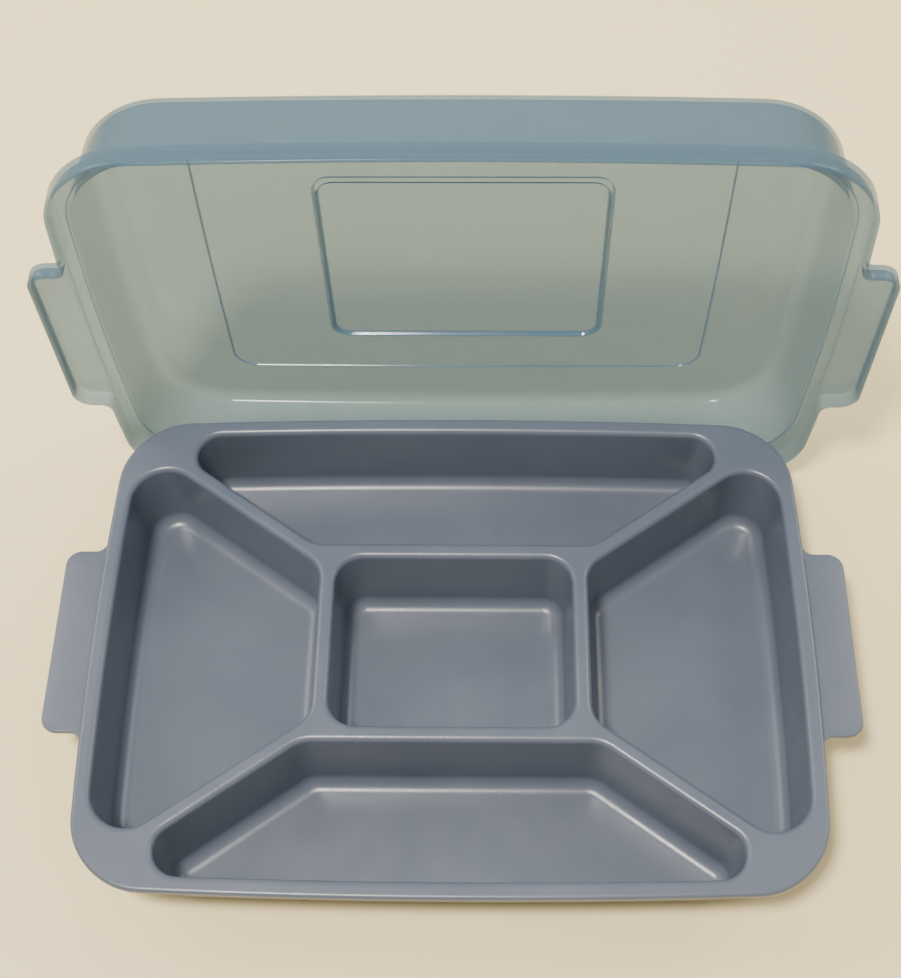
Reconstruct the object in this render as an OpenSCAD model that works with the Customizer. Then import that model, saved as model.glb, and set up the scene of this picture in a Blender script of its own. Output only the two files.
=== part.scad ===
// Chip and dip server: a five-pocket serving tray and its deep clear lid.
// Two thin plastic mouldings. The tray stands on the table and the lid stands
// upright behind it, with its open side to the front and its lower edge just
// under the overhang of the tray's back rim.
// Origin: middle of the tray's underside, on the table. X runs along the
// length, Y to the back, Z up. Millimetres.

/* [Tray] */
// Length of the tray between its straight corner lines, without the tabs
tray_l = 400; // [320:1:480]
// Width of the tray between its straight corner lines
tray_w = 284; // [230:1:340]
// Height of the tray, from the table to the rim
tray_h = 56; // [40:1:80]
// Corner radius of the rim
rim_r = 38; // [25:1:60]
// How far the middle of each side bulges out
bow = 4.8; // [0:0.1:8]
// Depth of the turned-down edge of the rim
rim_edge = 4; // [3:0.5:8]
// Wall thickness of the tray
tray_t = 2; // [1.5:0.1:3]

/* [Pockets] */
// Half length of the middle pocket
dip_x = 71.75; // [50:0.25:90]
// Half width of the middle pocket
dip_y = 54.75; // [40:0.25:70]
// Corner radius of the middle pocket
dip_r = 19; // [16:0.5:30]
// Flat land on top of the dividers
land = 2.5; // [1.5:0.5:6]
// Flat band between the rim's edge and the outer pockets
rim_band = 5.5; // [4:0.5:12]
// Angle of the diagonal dividers
diagonal = 35.5; // [30:0.5:42]
// Where the diagonal dividers start, along the length
diagonal_x = 83.5; // [70:0.5:100]
// Radius of the rounded lip of each pocket
lip_r = 3.5; // [2:0.5:5]
// Inward slope of the pocket walls, over their whole height
draft = 3; // [1:0.5:6]
// Radius between the pocket walls and floor
floor_r = 8.5; // [5:0.5:12]

/* [Handle tabs] */
// Half length of a tab along the side of the tray
tab_y = 56; // [40:1:80]
// How far a tab stands out from the rim
tab_out = 22; // [15:1:35]
// Thickness of a tab
tab_t = 3; // [2:0.5:5]
// Drop from the rim to the top of a tab
tab_drop = 2.5; // [1:0.5:5]
// Radius of a tab's outer corners
tab_r = 9; // [6:1:18]

/* [Lid] */
// Wall thickness of the lid
lid_t = 2; // [1.5:0.1:3]
// How far the lid's outline stands outside the rim
lid_over = 6; // [4:0.5:8]
// Depth of the lid from its open edge to the outside of its top
lid_d = 58; // [40:1:90]
// Height of the skirt that goes down over the rim
skirt_h = 12; // [8:0.5:18]
// Width of the ledge that rests on the rim
ledge = 8; // [5:0.5:14]
// Corner radius of the lid's walls, seen from above
wall_r = 47; // [30:1:60]
// Radius of the shoulder between walls and top
shoulder_r = 9; // [5:0.5:16]
// Half length of the shallow panel in the lid's top
panel_x = 146; // [110:1:165]
// Half width of the shallow panel
panel_y = 103; // [70:1:108]
// Height of the shallow panel's step
panel_step = 0.8; // [0.4:0.1:2]
// Half length of the raised middle of the lid's top
plateau_x = 82; // [50:1:100]
// Half width of the raised middle
plateau_y = 72; // [40:1:80]
// Height of the raised middle
plateau_step = 2.5; // [1:0.1:4]

/* [Standing lid] */
// Sideways place of the standing lid
lid_x = 6; // [-10:1:10]
// How far the lid's open edge is tucked in under the tray's rim
tuck = 13.6; // [0:0.1:13.6]

/* [Hidden] */
half_l = tray_l / 2;
half_w = tray_w / 2;
least_r = 3;
arc_steps = 7;
side_steps = 6;
bend_steps = 5;
bow_power = 3;
floor_t = tray_t;
draft_in = lip_r + draft;
edge_r = 2;
tab_root_r = 6;
tab_overlap = 0.1;
tab_top = tray_h - tab_drop;
cut = 1;

// Corners of the rim, anticlockwise from the front left
rim_box = [[-half_l, -half_w], [half_l, -half_w], [half_l, half_w], [-half_l, half_w]];
rim_radii = [rim_r, rim_r, rim_r, rim_r];

// Corners of the five pockets, at the top of their lips
slope = tan(diagonal);
half_land = land / 2;
land_rise = half_land / cos(diagonal);
side_in = dip_x + land;
side_out = half_l - rim_band;
long_in = dip_y + land;
long_out = half_w - rim_band;
divider_y = dip_y + half_land;
side_pocket_r_in = 20;
side_pocket_r_out = 22.5;
long_pocket_r_in = 24;
long_pocket_r_out = 16.5;
function diagonal_y(x) = divider_y + slope * (x - diagonal_x);
function diagonal_at(y) = diagonal_x + (y - divider_y) / slope;
side_y_in = diagonal_y(side_in) - land_rise;
side_y_out = diagonal_y(side_out) - land_rise;
long_x_in = diagonal_at(long_in - land_rise);
long_x_out = diagonal_at(long_out - land_rise);
dip_box = [[-dip_x, -dip_y], [dip_x, -dip_y], [dip_x, dip_y], [-dip_x, dip_y]];
dip_radii = [dip_r, dip_r, dip_r, dip_r];
right_box = [[side_in, -side_y_in], [side_out, -side_y_out], [side_out, side_y_out], [side_in, side_y_in]];
side_radii = [side_pocket_r_in, side_pocket_r_out, side_pocket_r_out, side_pocket_r_in];
back_box = [[-long_x_in, long_in], [long_x_in, long_in], [long_x_out, long_out], [-long_x_out, long_out]];
long_radii = [long_pocket_r_in, long_pocket_r_in, long_pocket_r_out, long_pocket_r_out];

// The lid in its own frame: open edge on Z = 0, top towards +Z
lid_clear = lid_over - lid_t;
ledge_z = skirt_h - lid_t;
lid_draft = 2.5;
skirt_bend = 1.5;
tab_gap = 1.5;
tab_side_gap = 4.5;
tab_room = 0.3;
tab_plate_z = ledge_z - tab_drop + tab_room;
rim_ledge = ledge - lid_over;
wall_radii = [for (r = rim_radii) wall_r + rim_ledge];
plateau_r = 10;
panel_r = 13;
step_draft = 1;

// Place of the standing lid: its longest edge rests on the table
lid_y = half_w + bow - tuck;
lid_z = half_w + lid_over + bow * pow((half_w + lid_over) / half_w, bow_power);

// Unit normal to the left of the line from a to b
function left_of(a, b) = let (d = (b - a) / norm(b - a)) [-d[1], d[0]];

// One corner of an outline moved in by e, as an arc that keeps a least radius
function corner(a, b, c, r, e, n) =
    let (n0 = left_of(a, b), n1 = left_of(b, c), rr = max(r - e, least_r))
    let (centre = b + (n0 + n1) * (e + rr) / (1 + n0 * n1))
    let (start = atan2(-n0[1], -n0[0]), turn = acos(n0 * n1))
    [for (i = [0:n]) centre + rr * [cos(start + turn * i / n), sin(start + turn * i / n)]];

// Points between two corners, so that a side can bow
function side(a, b) = [for (i = [1:side_steps - 1]) a + (b - a) * i / side_steps];

// A rounded outline moved in by e, from its corners and their radii
function outline(box, radii, e) =
    let (m = len(box))
    let (arcs = [for (i = [0:m - 1])
        corner(box[(i + m - 1) % m], box[i], box[(i + 1) % m], radii[i], e, arc_steps)])
    [for (i = [0:m - 1]) each concat(arcs[i], side(arcs[i][arc_steps], arcs[(i + 1) % m][0]))];

// Bulge of the long and short sides, full at the rim and faint in the middle
function bowed(p) =
    let (x = p[0] / half_l, y = p[1] / half_w)
    [p[0] + bow * pow(x, bow_power) * (1 - y * y), p[1] + bow * pow(y, bow_power) * (1 - x * x)];

// A closed solid through rings of points that run upwards: rows of [inset, z]
module loft(box, radii, rows) {
    rings = [for (r = rows) [for (p = outline(box, radii, r[0])) let (q = bowed(p)) [q[0], q[1], r[1]]]];
    n = len(rings[0]);
    last = len(rings) - 1;
    walls = [for (k = [0:last - 1], i = [0:n - 1])
        let (j = (i + 1) % n)
        each [[k * n + i, k * n + n + i, k * n + n + j], [k * n + i, k * n + n + j, k * n + j]]];
    base = [for (i = [0:n - 1]) i];
    top = [for (i = [n - 1:-1:0]) last * n + i];
    polyhedron([for (r = rings) each r], concat(walls, [base, top]), convexity = 6);
}

// Rows of a round bend from angle a0 to a1 about a centre in [inset, z]
function bend(centre, r, a0, a1) = [for (i = [0:bend_steps])
    let (a = a0 + (a1 - a0) * i / bend_steps) [centre[0] + r * cos(a), centre[1] + r * sin(a)]];

// The hollow of a pocket, from its floor up through its rounded lip
module pocket(box, radii) {
    floor_bend = bend([draft_in + floor_r, floor_t + floor_r], floor_r, 270, 180);
    lip_bend = [for (i = [bend_steps:-1:1])
        let (a = 90 * i / bend_steps) [lip_r * sin(a), tray_h - lip_r * (1 - cos(a))]];
    loft(box, radii, concat(floor_bend, lip_bend, [[0, tray_h + cut]]));
}

// The outside of a pocket, under the deck
module cup(box, radii) {
    outer_r = floor_r + tray_t;
    wall_in = draft_in - tray_t;
    floor_bend = bend([wall_in + outer_r, outer_r], outer_r, 270, 180);
    loft(box, radii, concat(floor_bend, [[lip_r - tray_t, tray_h - lip_r], [lip_r - tray_t, tray_h - cut]]));
}

// The outside of each pocket where solid is true, or else its hollow
module dip_pocket(solid) {
    if (solid) cup(dip_box, dip_radii);
    else pocket(dip_box, dip_radii);
}

module right_pocket(solid) {
    if (solid) cup(right_box, side_radii);
    else pocket(right_box, side_radii);
}

module back_pocket(solid) {
    if (solid) cup(back_box, long_radii);
    else pocket(back_box, long_radii);
}

module five_pockets(solid) {
    dip_pocket(solid);
    for (turn = [0, 180]) rotate(turn) {
        right_pocket(solid);
        back_pocket(solid);
    }
}

// Flat outline of both tabs, reaching out by extra and longer by side at each
// end, with rounded roots on an outline that is moved in by root
module tab_shape(extra, side, root) {
    reach = half_l + bow + tab_out + extra;
    offset(r = -tab_root_r) offset(delta = tab_root_r) {
        polygon([for (p = outline(rim_box, rim_radii, root)) bowed(p)]);
        offset(r = tab_r) offset(delta = -tab_r) square([2 * reach, 2 * (tab_y + side)], center = true);
    }
}

// A strip along X that keeps only the length of the side that a tab takes up
module tab_strip(side) {
    square([2 * tray_l, 2 * (tab_y + side + 2 * tab_root_r)], center = true);
}

// The flat top with its turned-down edge, before the pockets are cut
module deck() {
    edge_bend = [for (i = [0:bend_steps])
        let (a = 90 * i / bend_steps) [edge_r * (1 - cos(a)), tray_h - edge_r * (1 - sin(a))]];
    difference() {
        loft(rim_box, rim_radii, concat([[0, tray_h - rim_edge]], edge_bend));
        loft(rim_box, rim_radii, [[tray_t, tray_h - rim_edge - cut], [tray_t, tray_h - tray_t]]);
    }
}

module tray() {
    color([0.47, 0.53, 0.58])
    difference() {
        union() {
            deck();
            five_pockets(true);
            translate([0, 0, tab_top - tab_t]) linear_extrude(tab_t) difference() {
                intersection() {
                    tab_shape(0, 0, tab_overlap);
                    tab_strip(0);
                }
                polygon([for (p = outline(rim_box, rim_radii, tray_t)) bowed(p)]);
            }
        }
        five_pockets(false);
    }
}

// The lid's outer form, or its hollow when moved in by its wall
module lid_body(wall) {
    top = lid_d - wall;
    step_z = skirt_h - wall;
    round_r = shoulder_r - wall;
    skirt = [[wall - lid_over, wall > 0 ? -cut : 0], [wall - lid_over, step_z - skirt_bend]];
    corner_bend = [[wall - lid_over + skirt_bend, step_z]];
    wall_in = rim_ledge + wall;
    wall_foot = [[wall_in, wall > 0 ? -cut : skirt_bend], [wall_in, step_z + skirt_bend]];
    shoulder = bend([wall_in + lid_draft + round_r, top - round_r], round_r, 180, 90);
    loft(rim_box, rim_radii, concat(skirt, corner_bend));
    loft(rim_box, wall_radii, concat(wall_foot, shoulder));
    rise(panel_x - wall, panel_y - wall, panel_r, top, panel_step);
    rise(plateau_x - wall, plateau_y - wall, plateau_r, top + panel_step, plateau_step);
}

// A low raised rectangle with sloping sides on the lid's top
module rise(x, y, r, z, h) {
    slope_in = h * step_draft;
    box = [[-x, -y], [x, -y], [x, y], [-x, y]];
    loft(box, [r, r, r, r], [[0, z - lid_t / 2], [0, z], [slope_in, z + h]]);
}

// The block of a lid tab, or its hollow when cutting
module lid_tabs(hollow) {
    low = hollow ? -cut : 0;
    high = hollow ? tab_plate_z : tab_plate_z + lid_t;
    grow = hollow ? tab_gap : tab_gap + lid_t;
    side = hollow ? tab_side_gap : tab_side_gap + lid_t;
    edge = hollow ? -lid_clear : -lid_over;
    translate([0, 0, low]) linear_extrude(high - low) difference() {
        intersection() {
            tab_shape(grow, side, edge);
            tab_strip(side);
        }
        polygon([for (p = outline(rim_box, rim_radii, hollow ? -cut : -lid_clear)) bowed(p)]);
    }
}

module lid_moulding() {
    difference() {
        union() {
            lid_body(0);
            lid_tabs(false);
        }
        lid_body(lid_t);
        lid_tabs(true);
    }
}

module lid() {
    color([0.66, 0.76, 0.77, 0.6])
    translate([lid_x, lid_y, lid_z]) rotate([-90, 0, 0]) lid_moulding();
}

tray();
lid();
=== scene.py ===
"""Chip and dip server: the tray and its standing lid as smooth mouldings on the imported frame.

Sizes are in millimetres, as in the part's source, and each mesh is made in metres.
The lid is built in its own frame, open edge on w = 0 and top towards +w, and then
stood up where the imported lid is.
"""

import math

import bmesh
import bpy
import numpy as np
from mathutils import Matrix, Vector
from mathutils.geometry import tessellate_polygon


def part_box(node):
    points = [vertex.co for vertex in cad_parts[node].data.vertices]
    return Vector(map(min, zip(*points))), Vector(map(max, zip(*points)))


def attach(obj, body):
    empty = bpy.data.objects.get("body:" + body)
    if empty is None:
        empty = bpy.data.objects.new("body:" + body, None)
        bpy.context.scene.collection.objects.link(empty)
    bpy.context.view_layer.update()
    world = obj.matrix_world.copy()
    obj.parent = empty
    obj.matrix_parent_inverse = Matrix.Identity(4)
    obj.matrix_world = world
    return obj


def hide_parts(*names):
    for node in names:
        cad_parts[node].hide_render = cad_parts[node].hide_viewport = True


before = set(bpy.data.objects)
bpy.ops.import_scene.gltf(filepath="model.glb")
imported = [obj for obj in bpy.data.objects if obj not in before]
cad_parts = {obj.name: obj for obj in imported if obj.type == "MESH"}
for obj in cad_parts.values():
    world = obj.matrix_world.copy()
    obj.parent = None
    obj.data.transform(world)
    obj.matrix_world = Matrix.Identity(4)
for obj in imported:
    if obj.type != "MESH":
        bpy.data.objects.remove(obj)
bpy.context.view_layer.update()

MM = 0.001

# ---------------------------------------------------------------- sizes of the tray, in mm
# half sizes of the rim before its sides bulge by BOW; the rim's edge band hangs by RIM_EDGE
HALF_L, HALF_W, HEIGHT, BOW = 200.0, 142.0, 56.0, 4.8
RIM_R, RIM_EDGE, EDGE_R, EDGE_FOOT_R, WALL = 38.0, 4.0, 2.0, 0.5, 2.0
# the middle hollow, the lands between hollows and the band between them and the rim
DIP_X, DIP_Y, DIP_R = 71.75, 54.75, 19.0
LAND, RIM_BAND = 2.5, 5.5
# a diagonal land's angle, and the x where it meets the middle hollow's land
DIAGONAL, DIAGONAL_X = math.radians(35.5), 83.5
# corners of the side hollows and of the long ones, next to the middle and next to the rim
SIDE_R_IN, SIDE_R_OUT, LONG_R_IN, LONG_R_OUT = 20.0, 22.5, 24.0, 16.5
# section of every hollow: rounded lip, lean of its wall from top to bottom, floor bend
LIP_R, DRAFT, FLOOR_R = 3.5, 3.0, 8.5
# a tab: half length, reach past the rim, thickness, drop below the rim, corners and roots
TAB_Y, TAB_OUT, TAB_T, TAB_DROP, TAB_R, TAB_ROOT_R = 56.0, 22.0, 3.0, 2.5, 9.0, 6.0
TAB_LOW_R, TAB_TOP_R, TAB_EMBED = 0.6, 1.0, 1.0

# ---------------------------------------------------------------- sizes of the lid, in mm
# its skirt stands LID_OVER outside the rim, and its wall LEDGE inside the skirt
LID_T, LID_OVER, LID_D, SKIRT_H, LEDGE = 2.0, 6.0, 58.0, 12.0, 8.0
LID_WALL_R, SHOULDER_R, LID_DRAFT, LID_LIP = 47.0, 9.0, 2.5, 0.8
# the skirt's upper bend and the wall's foot, on the outer and on the inner face
OUTER_BENDS, INNER_BENDS = (1.0, 0.6), (0.6, 0.9)
# the raised panel and the plateau on it: half sizes, corner, rise and rounding of the step
PANEL_X, PANEL_Y, PANEL_R, PANEL_STEP, PANEL_BEND_R = 146.0, 103.0, 13.0, 0.8, 0.45
PLATEAU_X, PLATEAU_Y, PLATEAU_R, PLATEAU_STEP, PLATEAU_BEND_R = 82.0, 72.0, 10.0, 2.5, 1.0
STEP_SLOPE, STEP_AWAY = 68, 1
# a lid tab covers a tray tab: its clearance at the end and at the sides, and its height
TAB_GAP, TAB_SIDE_GAP, TAB_PLATE_W = 1.5, 4.5, 7.8
COVER_LOW_R, COVER_TOP_R, COVER_HOLLOW_R, COVER_HOLLOW_EMBED = 0.5, 1.6, 1.0, 3.0

# ---------------------------------------------------------------- fineness
LEAST_R = 3.0  # the least corner of an outline that is moved in
ARC, SIDE = 14, 18  # steps in a corner and along a side of an outline
ROOT_STEPS, CORNER_STEPS, INNER_POINTS = 8, 12, 14  # of a tab's outline
FLAT = 0.45  # a flat strip beside each rounding, so that the flats shade flat
WELD = 1e-6  # in metres
SHARP_DEG = 40


# ---------------------------------------------------------------- outlines
def left_of(a, b):
    """The unit vector to the left of the way from a to b."""
    d = (b - a) / np.linalg.norm(b - a)
    return np.array([-d[1], d[0]])


def corner(a, b, c, r, e):
    """One corner of an outline moved in by e, as an arc that keeps a least radius."""
    n0, n1 = left_of(a, b), left_of(b, c)
    rr = max(r - e, LEAST_R)
    centre = b + (n0 + n1) * (e + rr) / (1 + n0 @ n1)
    start = math.atan2(-n0[1], -n0[0])
    turn = math.acos(max(-1.0, min(1.0, n0 @ n1)))
    t = start + turn * np.arange(ARC + 1) / ARC
    return centre + rr * np.c_[np.cos(t), np.sin(t)]


def outline(shape, e):
    """A rounded outline moved in by e, from its corners and their radii."""
    box, radii = shape
    m = len(box)
    arcs = [corner(box[i - 1], box[i], box[(i + 1) % m], radii[i], e) for i in range(m)]
    t = (np.arange(1, SIDE) / SIDE)[:, None]
    parts = []
    for i in range(m):
        a, b = arcs[i][-1], arcs[(i + 1) % m][0]
        parts += [arcs[i], a + (b - a) * t]
    return np.concatenate(parts)


def bowed(p):
    """The bulge of the long and short sides, full at the rim and faint in the middle."""
    x, y = p[:, 0] / HALF_L, p[:, 1] / HALF_W
    return np.c_[p[:, 0] + BOW * x**3 * (1 - y * y), p[:, 1] + BOW * y**3 * (1 - x * x)]


def rect(x, y, r):
    """A rounded rectangle as corners and radii, from its half sizes."""
    box = [np.array(p, float) for p in ((-x, -y), (x, -y), (x, y), (-x, y))]
    return box, [r] * 4


def arc_rows(centre, r, a0, a1, steps):
    """Rows of a round bend from angle a0 to a1 about a centre in [inset, height]."""
    t = np.radians(a0 + (a1 - a0) * np.arange(steps + 1) / steps)
    return [(centre[0] + r * math.cos(a), centre[1] + r * math.sin(a)) for a in t]


# ---------------------------------------------------------------- mesh code
class Form:
    """Vertices and faces in mm, made of rings that are bridged, capped and filled."""

    def __init__(self):
        self.verts, self.faces = [], []

    def ring(self, points, z):
        start = len(self.verts)
        self.verts += [(x, y, z) for x, y in points]
        return list(range(start, len(self.verts)))

    def bridge(self, a, b):
        """Faces between two rings; the outside is to the right going from a to b upwards."""
        n = len(a)
        for i in range(n):
            j = (i + 1) % n
            self.faces.append((a[i], a[j], b[j], b[i]))

    def cap(self, ring, up):
        self.faces.append(tuple(ring) if up else tuple(reversed(ring)))

    def fill(self, outer, holes, up):
        """A flat face inside one ring and outside others."""
        loops = [outer] + holes
        flat = [i for loop in loops for i in loop]
        for tri in tessellate_polygon([[Vector(self.verts[i]) for i in loop] for loop in loops]):
            a, b, c = (np.array(self.verts[flat[k]][:2]) for k in tri)
            (ux, uy), (vx, vy) = b - a, c - a
            anticlockwise = ux * vy - uy * vx > 0
            face = [flat[k] for k in tri]
            self.faces.append(tuple(face if anticlockwise == up else reversed(face)))

    def rows(self, shape, rows):
        """Bridged rings of one bulging shape through rows of [inset, height]."""
        rings = [self.ring(bowed(outline(shape, inset)), z) for inset, z in rows]
        for a, b in zip(rings, rings[1:]):
            self.bridge(a, b)
        return rings

    def mesh(self, name):
        """A welded mesh in metres, its faces turned outwards."""
        me = bpy.data.meshes.new(name)
        me.from_pydata([(x * MM, y * MM, z * MM) for x, y, z in self.verts], [], self.faces)
        bm = bmesh.new()
        bm.from_mesh(me)
        bmesh.ops.remove_doubles(bm, verts=bm.verts, dist=WELD)
        bmesh.ops.recalc_face_normals(bm, faces=bm.faces)
        bm.to_mesh(me)
        bm.free()
        return me


def add_object(name, data):
    obj = bpy.data.objects.new(name, data)
    bpy.context.scene.collection.objects.link(obj)
    return obj


def boolean(target, form, operation):
    """Joins or cuts a form with an exact boolean, applied."""
    tool = add_object("tool", form.mesh("tool"))
    mod = target.modifiers.new("cut", "BOOLEAN")
    mod.object, mod.operation, mod.solver = tool, operation, "EXACT"
    bpy.context.view_layer.update()
    done = bpy.data.meshes.new_from_object(
        target.evaluated_get(bpy.context.evaluated_depsgraph_get())
    )
    target.modifiers.remove(mod)
    old, target.data = target.data, done
    bpy.data.meshes.remove(old)
    bpy.data.objects.remove(tool)


def finish_mesh(obj):
    """Welds doubles, turns the faces outwards, and shades smooth but for sharp edges."""
    bm = bmesh.new()
    bm.from_mesh(obj.data)
    bmesh.ops.remove_doubles(bm, verts=bm.verts, dist=WELD)
    bmesh.ops.dissolve_degenerate(bm, edges=bm.edges, dist=WELD)
    bmesh.ops.recalc_face_normals(bm, faces=bm.faces)
    bm.to_mesh(obj.data)
    bm.free()
    obj.data.shade_smooth()
    obj.data.set_sharp_from_angle(angle=math.radians(SHARP_DEG))


# ---------------------------------------------------------------- the five hollows
slope = math.tan(DIAGONAL)
half_land = LAND / 2
land_rise = half_land / math.cos(DIAGONAL)
side_in, side_out = DIP_X + LAND, HALF_L - RIM_BAND
long_in, long_out = DIP_Y + LAND, HALF_W - RIM_BAND
divider_y = DIP_Y + half_land


def diagonal_y(x):
    return divider_y + slope * (x - DIAGONAL_X)


def diagonal_x(y):
    return DIAGONAL_X + (y - divider_y) / slope


def turned(corners, radii, sign):
    """A shape as corners and radii, as it is (1) or turned half round (-1)."""
    return [np.array(p, float) * sign for p in corners], radii


side_y_in, side_y_out = diagonal_y(side_in) - land_rise, diagonal_y(side_out) - land_rise
long_x_in, long_x_out = diagonal_x(long_in - land_rise), diagonal_x(long_out - land_rise)
right_corners = [
    (side_in, -side_y_in),
    (side_out, -side_y_out),
    (side_out, side_y_out),
    (side_in, side_y_in),
]
back_corners = [
    (-long_x_in, long_in),
    (long_x_in, long_in),
    (long_x_out, long_out),
    (-long_x_out, long_out),
]
side_radii = [SIDE_R_IN, SIDE_R_OUT, SIDE_R_OUT, SIDE_R_IN]
long_radii = [LONG_R_IN, LONG_R_IN, LONG_R_OUT, LONG_R_OUT]
HOLLOWS = [
    rect(DIP_X, DIP_Y, DIP_R),
    turned(right_corners, side_radii, 1),
    turned(right_corners, side_radii, -1),
    turned(back_corners, long_radii, 1),
    turned(back_corners, long_radii, -1),
]
RIM = rect(HALF_L, HALF_W, RIM_R)


# ---------------------------------------------------------------- the tray
def hollow_rows():
    """A hollow from the deck down to its floor: lip, leaning wall and floor bend."""
    floor_in = LIP_R + DRAFT + FLOOR_R
    top, low = HEIGHT - LIP_R, WALL + FLOOR_R
    lip = arc_rows((0, top), LIP_R, 90, 0, steps=9)
    wall = [(LIP_R + DRAFT * k / 4, top + (low - top) * k / 4) for k in (1, 2, 3)]
    bend = arc_rows((floor_in, low), FLOOR_R, 180, 270, steps=10)
    return [(-FLAT, HEIGHT)] + lip + wall + bend + [(floor_in + FLAT, WALL)]


def cup_rows():
    """The same hollow from underneath, one wall outside it, down to the ground."""
    r = FLOOR_R + WALL
    floor_in = LIP_R + DRAFT - WALL + r
    neck = [(LIP_R - WALL, HEIGHT - WALL), (LIP_R - WALL, HEIGHT - LIP_R)]
    bend = arc_rows((floor_in, r), r, 180, 270, steps=8)
    return neck + bend + [(floor_in + FLAT, 0.0)]


def tray_form():
    f = Form()
    # the top: the rim's edge, the deck and the five hollows
    edge_low = HEIGHT - RIM_EDGE
    edge_foot = arc_rows((EDGE_FOOT_R, edge_low + EDGE_FOOT_R), EDGE_FOOT_R, 270, 180, steps=3)
    edge_top = arc_rows((EDGE_R, HEIGHT - EDGE_R), EDGE_R, 180, 90, steps=7)
    outer = f.rows(RIM, edge_foot + edge_top + [(EDGE_R + FLAT, HEIGHT)])
    tops = []
    for shape in HOLLOWS:
        rings = f.rows(shape, hollow_rows())
        f.cap(rings[-1], True)
        tops.append(rings[0])
    f.fill(outer[-1], tops, True)
    # the underside: the back of the rim's edge, the deck from below and the five cups
    edge_back = [(WALL - EDGE_FOOT_R, edge_low), (WALL, edge_low + EDGE_FOOT_R)]
    inner = f.rows(RIM, edge_back + [(WALL, HEIGHT - WALL)])
    f.bridge(inner[0], outer[0])
    roots = []
    for shape in HOLLOWS:
        rings = f.rows(shape, cup_rows())
        f.cap(rings[-1], False)
        roots.append(rings[0])
    f.fill(inner[-1], roots, False)
    return f


# ---------------------------------------------------------------- tabs
def side_x(y):
    """Where the rim's short side lies at y."""
    return HALF_L + BOW * (1 - (y / HALF_W) ** 2)


def tab_outline(grow, side, over, corner_r, embed, e):
    """One tab from above, moved in by e.

    It reaches out by grow and is longer by side at each end than the tray's tab, on a
    side that stands over outside the rim's, and it is rooted embed inside that side.
    """
    y0 = TAB_Y + side - e
    reach = HALF_L + BOW + TAB_OUT + grow - e
    root = TAB_ROOT_R + e
    r = corner_r - e
    rx, ry = side_x(y0 + root) + over + root, y0 + root
    half = [(rx - root - embed, ry)]
    for k in range(ROOT_STEPS + 1):
        t = math.radians(180 + 90 * k / ROOT_STEPS)
        half.append((rx + root * math.cos(t), ry + root * math.sin(t)))
    for k in range(CORNER_STEPS + 1):
        t = math.radians(90 - 90 * k / CORNER_STEPS)
        half.append((reach - r + r * math.cos(t), y0 - r + r * math.sin(t)))
    inner_y = np.linspace(-ry, ry, INNER_POINTS)[1:-1]
    inner = [(side_x(y) + over - embed, y) for y in inner_y]
    return np.array(half + [(x, -y) for x, y in reversed(half)] + inner)[::-1]


def tab_form(grow, side, over, corner_r, embed, rows, sign):
    """A closed plate of the tab's outline through rows of [inset, height]."""
    f = Form()
    rings = []
    for e, z in rows:
        p = tab_outline(grow, side, over, corner_r, embed, e)
        rings.append(f.ring(p * sign, z))
    for a, b in zip(rings, rings[1:]):
        f.bridge(a, b)
    f.fill(rings[0], [], False)
    f.fill(rings[-1], [], True)
    return f


def plate_rows(low, high, r_low, r_high, steps=4):
    """Rows of a plate from low to high; its lower edge is sharp where r_low is 0."""
    rows = arc_rows((r_low, low + r_low), r_low, 270, 180, steps) if r_low else [(0, low)]
    return rows + arc_rows((r_high, high - r_high), r_high, 180, 90, steps)


tray = add_object("tray_moulding", tray_form().mesh("tray_moulding"))
tab_top = HEIGHT - TAB_DROP
tab_rows = plate_rows(tab_top - TAB_T, tab_top, TAB_LOW_R, TAB_TOP_R)
for sign in (1, -1):
    boolean(tray, tab_form(0, 0, 0, TAB_R, TAB_EMBED, tab_rows, sign), "UNION")
finish_mesh(tray)


# ---------------------------------------------------------------- the lid
LID_WALL = rect(HALF_L, HALF_W, LID_WALL_R + LEDGE - LID_OVER)


def step_rows(h, z, r):
    """A rounded, steep step up from z by h; inset grows as it rises."""
    run = h / math.tan(math.radians(STEP_SLOPE))
    k = r * math.tan(math.radians(STEP_SLOPE / 2))
    low = arc_rows((-k, z + r), r, 270, 270 + STEP_SLOPE, steps=4)
    high = arc_rows((run + k, z + h - r), r, 90 + STEP_SLOPE, 90, steps=4)
    return [(-k - STEP_AWAY, z)] + low + high + [(run + k + STEP_AWAY, z + h)]


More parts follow.
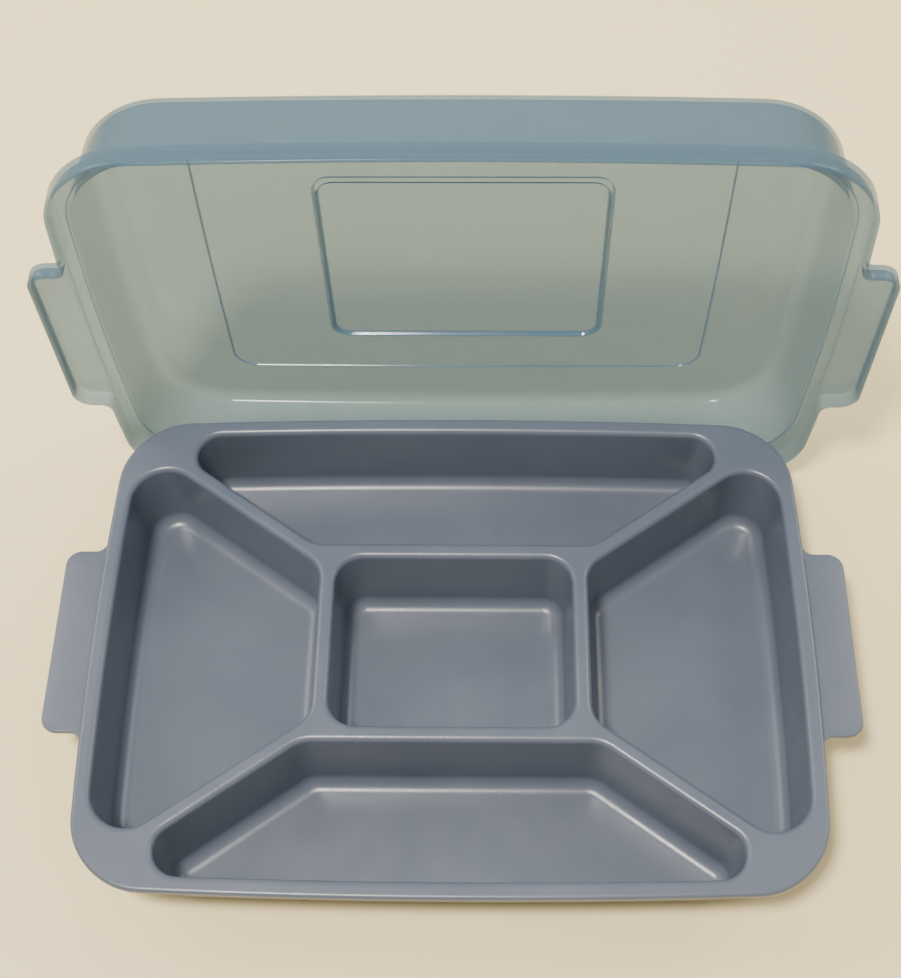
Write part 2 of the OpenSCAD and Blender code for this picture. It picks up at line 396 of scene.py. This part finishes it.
def lid_surface(f, wall, bend_r, foot_r):
    """The lid's outer face, or its inner face when moved in by its wall."""
    top = LID_D - wall
    ledge_w = SKIRT_H - wall
    skirt_in = wall - LID_OVER
    wall_in = LEDGE - LID_OVER + wall
    shoulder = SHOULDER_R - wall

    skirt = [(skirt_in, LID_LIP)] + [(skirt_in, ledge_w * k / 4) for k in (1, 2, 3)]
    skirt += arc_rows((skirt_in + bend_r, ledge_w - bend_r), bend_r, 180, 90, steps=4)
    skirt.append((skirt_in + bend_r + FLAT, ledge_w))
    skirt_rings = f.rows(RIM, skirt)

    foot_w = ledge_w + foot_r
    foot = [(wall_in - foot_r - FLAT, ledge_w)]
    foot += arc_rows((wall_in - foot_r, foot_w), foot_r, 270, 360, steps=4)
    rise = top - shoulder - foot_w
    walls = [(wall_in + LID_DRAFT * k / 5, foot_w + rise * k / 5) for k in (1, 2, 3, 4)]
    crown_in = wall_in + LID_DRAFT + shoulder
    crown = arc_rows((crown_in, top - shoulder), shoulder, 180, 90, steps=8)
    crown.append((crown_in + FLAT, top))
    wall_rings = f.rows(LID_WALL, foot + walls + crown)
    f.bridge(skirt_rings[-1], wall_rings[0])

    panel = f.rows(
        rect(PANEL_X - wall, PANEL_Y - wall, PANEL_R),
        step_rows(PANEL_STEP, top, PANEL_BEND_R),
    )
    f.bridge(wall_rings[-1], panel[0])
    plateau = f.rows(
        rect(PLATEAU_X - wall, PLATEAU_Y - wall, PLATEAU_R),
        step_rows(PLATEAU_STEP, top + PANEL_STEP, PLATEAU_BEND_R),
    )
    f.bridge(panel[-1], plateau[0])
    f.cap(plateau[-1], True)
    return skirt_rings[0]


def lid_form():
    f = Form()
    outer = lid_surface(f, 0.0, *OUTER_BENDS)
    split = len(f.faces)
    inner = lid_surface(f, LID_T, *INNER_BENDS)
    f.faces[split:] = [tuple(reversed(face)) for face in f.faces[split:]]
    # the rounded open edge between them
    r = LID_T / 2
    half_turn = np.linspace(0, math.pi, 7)[1:-1]
    lip_rows = [
        (r - r * math.cos(t) - LID_OVER, LID_LIP - LID_LIP * math.sin(t)) for t in half_turn
    ]
    lip = f.rows(RIM, lip_rows)
    f.bridge(lip[0], outer)
    f.bridge(inner, lip[-1])
    return f


lid_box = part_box("lid")
lid_place = Matrix.Translation(
    ((lid_box[0].x + lid_box[1].x) / 2, lid_box[0].y, (lid_box[0].z + lid_box[1].z) / 2)
) @ Matrix.Rotation(math.radians(-90), 4, "X")
lid = add_object("lid_moulding", lid_form().mesh("lid_moulding"))
cover_rows = plate_rows(0.0, TAB_PLATE_W + LID_T, COVER_LOW_R, COVER_TOP_R)
cover = (TAB_GAP + LID_T, TAB_SIDE_GAP + LID_T, LID_OVER, TAB_R + LID_T, TAB_EMBED)
for sign in (1, -1):
    boolean(lid, tab_form(*cover, cover_rows, sign), "UNION")
room_rows = plate_rows(-1.0, TAB_PLATE_W, 0, COVER_HOLLOW_R)
room = (TAB_GAP, TAB_SIDE_GAP, LID_OVER - LID_T, TAB_R, COVER_HOLLOW_EMBED)
for sign in (1, -1):
    boolean(lid, tab_form(*room, room_rows, sign), "DIFFERENCE")
finish_mesh(lid)

# ---------------------------------------------------------------- the lid's painted shade lines
# painted shade: darker blue lines along the lid's open edge, skirt, wall foot, steps and tab
# ends, standing in for the shade that refraction and the long path through the plastic give there
# each line's strength, from 0 to 1, and the distance over which it fades, in mm
LIP_SHADE_LINE, LIP_FADE = 0.3, 1.6
SKIRT_SHADE_LINE, SKIRT_FADE = 0.1, 2.0
SKIRT_IN_SHADE_LINE, SKIRT_IN_FADE = 0.7, 1.6
FOOT_SHADE_LINE, FOOT_IN_SHADE_LINE, FOOT_FADE = 1.0, 0.7, 1.8
PANEL_SHADE_LINE, PANEL_IN_SHADE_LINE, PANEL_FADE = 0.25, 1.0, 1.1
PLATEAU_SHADE_LINE, PLATEAU_IN_SHADE_LINE, PLATEAU_FADE = 0.9, 1.0, 2.1
TAB_FADE = 2.5
STEP_PEAK = 1.3  # a step's line is full for a part of its width
MID_BEND = 0.3  # from an outer corner to the middle of its rounding
PANEL_MID, PLATEAU_MID = 0.2, 0.5  # from a step's foot to its middle
STEP_MARGIN = 0.1


def unbowed(u, v):
    """The points that the bulge moves to (u, v)."""
    x, y = u, v
    for _ in range(5):
        q = bowed(np.c_[x, y])
        x, y = x + u - q[:, 0], y + v - q[:, 1]
    return x, y


def rounded_distance(x, y, half_x, half_y, r):
    """Distance outside a rounded rectangle; negative inside."""
    qx, qy = abs(x) - (half_x - r), abs(y) - (half_y - r)
    return np.hypot(np.maximum(qx, 0), np.maximum(qy, 0)) + np.minimum(np.maximum(qx, qy), 0) - r


def near(a, a0, b, b0, reach):
    """1 at (a0, b0), fading to 0 at reach."""
    return np.clip(1 - np.hypot(a - a0, b - b0) / reach, 0, 1)


def step_shade_line(x, y, w, shape, low, h, fade, strengths):
    """A step's painted shade line on the outer and the inner face, clear of the flats beside it.
    """
    half_x, half_y, r = shape
    painted_shades = []
    for wall, strength in zip((0, LID_T), strengths):
        d = rounded_distance(x, y, half_x - wall, half_y - wall, r)
        above, below = w > low - wall - STEP_MARGIN, w < low - wall + h + STEP_MARGIN
        painted_shades.append(strength * np.clip(STEP_PEAK * (1 - np.abs(d) / fade), 0, 1) * above * below)
    return np.maximum(*painted_shades)


def painted_edge_shade(co):
    """How strongly painted shade darkens the plastic to a deeper blue, at points in the lid's
    frame.
    """
    u, v, w = (co / MM).T
    x, y = unbowed(u, v)
    skirt_in = -rounded_distance(x, y, HALF_L, HALF_W, RIM_R)
    wall_in = -rounded_distance(x, y, HALF_L, HALF_W, LID_WALL_R + LEDGE - LID_OVER)
    foot_in = LEDGE - LID_OVER
    ledge_w = SKIRT_H - LID_T
    panel = (PANEL_X - PANEL_MID, PANEL_Y - PANEL_MID, PANEL_R)
    plateau = (PLATEAU_X - PLATEAU_MID, PLATEAU_Y - PLATEAU_MID, PLATEAU_R)
    plateau_low = LID_D + PANEL_STEP
    tab_end = HALF_L + BOW + TAB_OUT + TAB_GAP + LID_T
    on_tab = abs(u) > HALF_L + BOW + LID_OVER
    painted_shades = [
        LIP_SHADE_LINE * np.clip(1 - w / LIP_FADE, 0, 1),
        SKIRT_SHADE_LINE * near(skirt_in, MID_BEND - LID_OVER, w, SKIRT_H - MID_BEND, SKIRT_FADE),
        SKIRT_IN_SHADE_LINE * near(skirt_in, LID_T - LID_OVER, w, ledge_w, SKIRT_IN_FADE),
        FOOT_SHADE_LINE * near(wall_in, foot_in - MID_BEND, w, SKIRT_H, FOOT_FADE),
        FOOT_IN_SHADE_LINE * near(wall_in, foot_in + LID_T, w, ledge_w, FOOT_FADE),
        step_shade_line(x, y, w, panel, LID_D, PANEL_STEP, PANEL_FADE, (PANEL_SHADE_LINE, PANEL_IN_SHADE_LINE)),
        step_shade_line(
            x, y, w, plateau, plateau_low, PLATEAU_STEP, PLATEAU_FADE,
            (PLATEAU_SHADE_LINE, PLATEAU_IN_SHADE_LINE),
        ),
        np.clip(1 - (tab_end - abs(u)) / TAB_FADE, 0, 1) * on_tab,
    ]
    return np.max(painted_shades, axis=0)


# painted shade: each point's strength of the darker lines, kept as an attribute for the lid's
# material
co = np.zeros(len(lid.data.vertices) * 3, np.float32)
lid.data.vertices.foreach_get("co", co)
painted_shade_layer = lid.data.attributes.new("painted_edge_shade", "FLOAT", "POINT")
painted_shade_layer.data.foreach_set("value", painted_edge_shade(co.reshape(-1, 3)).astype(np.float32))
lid.data.transform(lid_place)

# ---------------------------------------------------------------- looks
PLASTIC_IOR = 1.49
TRAY_DARK, TRAY_LIGHT = (0.096, 0.114, 0.154), (0.116, 0.136, 0.178)
TRAY_ROUGH, LID_ROUGH = (0.28, 0.34), (0.10, 0.17)
GRAIN_STRENGTH, GRAIN_DEPTH = 0.5, 0.00012
# painted shade: the third colour is the darker blue painted along the lid's edges, creases and
# steps
MILK, PAINTED_LINE_BLUE, CLEAR = (0.17, 0.25, 0.30), (0.10, 0.19, 0.29), (0.67, 0.79, 0.92)
MILK_SHADE = 0.96  # the darker end of the milk's clouds
LET_THROUGH = 0.25  # the share of the milk's light that comes from behind
FACING_BLEND, MILK_FACING, MILK_GLANCING, MILK_ON_PAINTED_SHADE = 0.35, 0.33, 0.66, 0.85
FLOOR_DARK, FLOOR_LIGHT, FLOOR_ROUGH = (0.95, 0.79, 0.43), (0.98, 0.82, 0.46), 0.6
# noises: scale, detail and roughness
TRAY_CLOUDS, TRAY_WEAR, TRAY_GRAIN = (14.0, 4.0, 0.5), (60.0, 5.0, 0.5), (900.0, 2.0, 0.6)
LID_CLOUDS, LID_WEAR, FLOOR_CLOUDS = (9.0, 3.0, 0.5), (30.0, 4.0, 0.5), (1.5, 3.0, 0.5)
NOISE_LOW, NOISE_HIGH = 0.3, 0.7  # most of a noise lies between these


def material(name):
    mat = bpy.data.materials.new(name)
    mat.use_nodes = True
    nt = mat.node_tree
    nt.nodes.clear()
    out = nt.nodes.new("ShaderNodeOutputMaterial")
    return mat, nt, out


def node(nt, kind, settings=(), **inputs):
    """A new node with its settings and its inputs; _ stands for a space in an input's name."""
    n = nt.nodes.new(kind)
    for key, value in dict(settings).items():
        setattr(n, key, value)
    for key, value in inputs.items():
        n.inputs[key.replace("_", " ")].default_value = value
    return n


def noise(nt, coords, scale, detail, rough):
    n = node(nt, "ShaderNodeTexNoise", Scale=scale, Detail=detail, Roughness=rough)
    nt.links.new(coords.outputs["Object"], n.inputs["Vector"])
    return n.outputs["Fac"]


def colours(nt, source, low, high):
    """A noise as colours from low to high."""
    n = node(nt, "ShaderNodeValToRGB")
    first, last = n.color_ramp.elements
    first.position, last.position = NOISE_LOW, NOISE_HIGH
    first.color, last.color = (*low, 1), (*high, 1)
    nt.links.new(source, n.inputs["Fac"])
    return n.outputs["Color"]


def numbers(nt, source, low, high):
    """A noise as numbers from low to high."""
    n = node(
        nt, "ShaderNodeMapRange",
        From_Min=NOISE_LOW, From_Max=NOISE_HIGH, To_Min=low, To_Max=high,
    )
    nt.links.new(source, n.inputs["Value"])
    return n.outputs["Result"]


def tray_plastic():
    """Opaque moulded plastic: faint clouds, uneven gloss and a fine grain."""
    mat, nt, out = material("tray_plastic")
    coords = node(nt, "ShaderNodeTexCoord")
    bsdf = node(nt, "ShaderNodeBsdfPrincipled", IOR=PLASTIC_IOR, Specular_IOR_Level=0.5)
    clouds = colours(nt, noise(nt, coords, *TRAY_CLOUDS), TRAY_DARK, TRAY_LIGHT)
    nt.links.new(clouds, bsdf.inputs["Base Color"])
    wear = numbers(nt, noise(nt, coords, *TRAY_WEAR), *TRAY_ROUGH)
    nt.links.new(wear, bsdf.inputs["Roughness"])
    bump = node(nt, "ShaderNodeBump", Strength=GRAIN_STRENGTH, Distance=GRAIN_DEPTH)
    nt.links.new(noise(nt, coords, *TRAY_GRAIN), bump.inputs["Height"])
    nt.links.new(bump.outputs["Normal"], bsdf.inputs["Normal"])
    nt.links.new(bsdf.outputs["BSDF"], out.inputs["Surface"])
    return mat


def lid_plastic():
    """Milky clear plastic: a gloss skin, light let through scattered, a clear share, and painted
    shade lines in a darker blue along its edges and steps.
    """
    mat, nt, out = material("lid_plastic")
    coords = node(nt, "ShaderNodeTexCoord")
    # painted shade: the strength of the darker lines along the lid's edges, creases and steps,
    # read from the mesh
    edge = node(nt, "ShaderNodeAttribute", {"attribute_name": "painted_edge_shade"})
    milk_dark = tuple(MILK_SHADE * c for c in MILK)
    clouds = colours(nt, noise(nt, coords, *LID_CLOUDS), milk_dark, MILK)
    # the milk's clouds, with the painted shade lines mixed over them in their darker blue
    colour = node(nt, "ShaderNodeMix", {"data_type": "RGBA"})
    factor, milk, painted_line_blue = colour.inputs["Factor"], colour.inputs[6], colour.inputs[7]
    nt.links.new(edge.outputs["Fac"], factor)
    nt.links.new(clouds, milk)
    painted_line_blue.default_value = (*PAINTED_LINE_BLUE, 1)
    skin = node(nt, "ShaderNodeBsdfPrincipled", IOR=PLASTIC_IOR)
    nt.links.new(colour.outputs[2], skin.inputs["Base Color"])
    wear = numbers(nt, noise(nt, coords, *LID_WEAR), *LID_ROUGH)
    nt.links.new(wear, skin.inputs["Roughness"])
    through = node(nt, "ShaderNodeBsdfTranslucent")
    nt.links.new(colour.outputs[2], through.inputs["Color"])
    body = node(nt, "ShaderNodeMixShader", Fac=LET_THROUGH)
    nt.links.new(skin.outputs["BSDF"], body.inputs[1])
    nt.links.new(through.outputs["BSDF"], body.inputs[2])
    clear = node(nt, "ShaderNodeBsdfTransparent", Color=(*CLEAR, 1))
    # how much is milk: more at a glancing angle, where the path through the wall is long, and
    # more on the painted shade lines
    facing = node(nt, "ShaderNodeLayerWeight", Blend=FACING_BLEND)
    share = node(nt, "ShaderNodeMapRange", To_Min=MILK_FACING, To_Max=MILK_GLANCING)
    nt.links.new(facing.outputs["Facing"], share.inputs["Value"])
    more = node(nt, "ShaderNodeMath", {"operation": "MAXIMUM"})
    nt.links.new(share.outputs["Result"], more.inputs[0])
    painted_shade_share = node(nt, "ShaderNodeMath", {"operation": "MULTIPLY"})
    painted_shade_share.inputs[1].default_value = MILK_ON_PAINTED_SHADE
    nt.links.new(edge.outputs["Fac"], painted_shade_share.inputs[0])
    nt.links.new(painted_shade_share.outputs[0], more.inputs[1])
    mix = node(nt, "ShaderNodeMixShader")
    nt.links.new(more.outputs[0], mix.inputs["Fac"])
    nt.links.new(clear.outputs["BSDF"], mix.inputs[1])
    nt.links.new(body.outputs["Shader"], mix.inputs[2])
    nt.links.new(mix.outputs["Shader"], out.inputs["Surface"])
    return mat


def floor_material():
    mat, nt, out = material("pale_floor")
    coords = node(nt, "ShaderNodeTexCoord")
    bsdf = node(nt, "ShaderNodeBsdfPrincipled", Roughness=FLOOR_ROUGH)
    clouds = colours(nt, noise(nt, coords, *FLOOR_CLOUDS), FLOOR_DARK, FLOOR_LIGHT)
    nt.links.new(clouds, bsdf.inputs["Base Color"])
    nt.links.new(bsdf.outputs["BSDF"], out.inputs["Surface"])
    return mat


tray.data.materials.clear()
tray.data.materials.append(tray_plastic())
lid.data.materials.clear()
lid.data.materials.append(lid_plastic())
for obj, body, slot in ((tray, "tray", "tray_plastic"), (lid, "lid", "lid_plastic")):
    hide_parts(body)
    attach(obj, body)

# ---------------------------------------------------------------- floor and light, in metres
FLOOR_HALF = 4.0
WORLD_COLOUR, WORLD_STRENGTH = (1.0, 0.95, 0.88), 0.36
# name, place, aim, size, watts and colour
LIGHTS = [
    ("key", (-0.35, -0.45, 1.9), (0, 0, 0), (0.3, 0.25), 54.0, (1.0, 0.94, 0.84)),
    ("left", (-1.3, 0.6, 1.2), (0, 0.2, 0), (0.9, 0.9), 14.0, (1.0, 0.95, 0.86)),
    ("right", (1.3, 0.7, 1.2), (0, 0.2, 0), (0.9, 0.9), 13.0, (1.0, 0.95, 0.86)),
    ("bounce", (0.0, 1.0, 1.0), (0, 0.28, 0), (0.9, 0.3), 11.0, (1.0, 0.93, 0.80)),
]

floor_mesh = bpy.data.meshes.new("floor")
floor_corners = [
    (x * FLOOR_HALF, y * FLOOR_HALF, 0) for x, y in ((-1, -1), (1, -1), (1, 1), (-1, 1))
]
floor_mesh.from_pydata(floor_corners, [], [(0, 1, 2, 3)])
floor = add_object("floor", floor_mesh)
floor.data.materials.append(floor_material())

world = bpy.data.worlds.new("studio")
bpy.context.scene.world = world
world.use_nodes = True
background = world.node_tree.nodes["Background"]
background.inputs["Color"].default_value = (*WORLD_COLOUR, 1)
background.inputs["Strength"].default_value = WORLD_STRENGTH


def area_light(name, place, target, size, power, colour):
    data = bpy.data.lights.new(name, "AREA")
    data.shape, data.size, data.size_y = "RECTANGLE", size[0], size[1]
    data.energy, data.color = power, colour
    lamp = add_object(name, data)
    lamp.location = place
    aim = Vector(target) - Vector(place)
    lamp.rotation_euler = aim.to_track_quat("-Z", "Y").to_euler()
    return lamp


lamps = {row[0]: area_light(*row) for row in LIGHTS}
lamps["bounce"].visible_glossy = False  # it would show as a patch on the lid's top

# ---------------------------------------------------------------- camera
CAMERA_PLACE = (0.0220, -0.3630, 0.8662)
PITCH, YAW, ROLL = math.radians(58.9), math.radians(-1.44), math.radians(1.03)
SENSOR, LENS = 36.0, 57.381  # in mm, the sensor along the image's longer side
SHIFT_X, SHIFT_Y = -0.021575, -0.041513
camera_data = bpy.data.cameras.new("camera")
camera_data.sensor_width, camera_data.lens = SENSOR, LENS
camera_data.shift_x, camera_data.shift_y = SHIFT_X, SHIFT_Y
camera = add_object("camera", camera_data)
camera.matrix_world = (
    Matrix.Translation(CAMERA_PLACE)
    @ Matrix.Rotation(-YAW, 4, "Z")
    @ Matrix.Rotation(math.pi / 2 - PITCH, 4, "X")
    @ Matrix.Rotation(-ROLL, 4, "Z")
)
bpy.context.scene.camera = camera
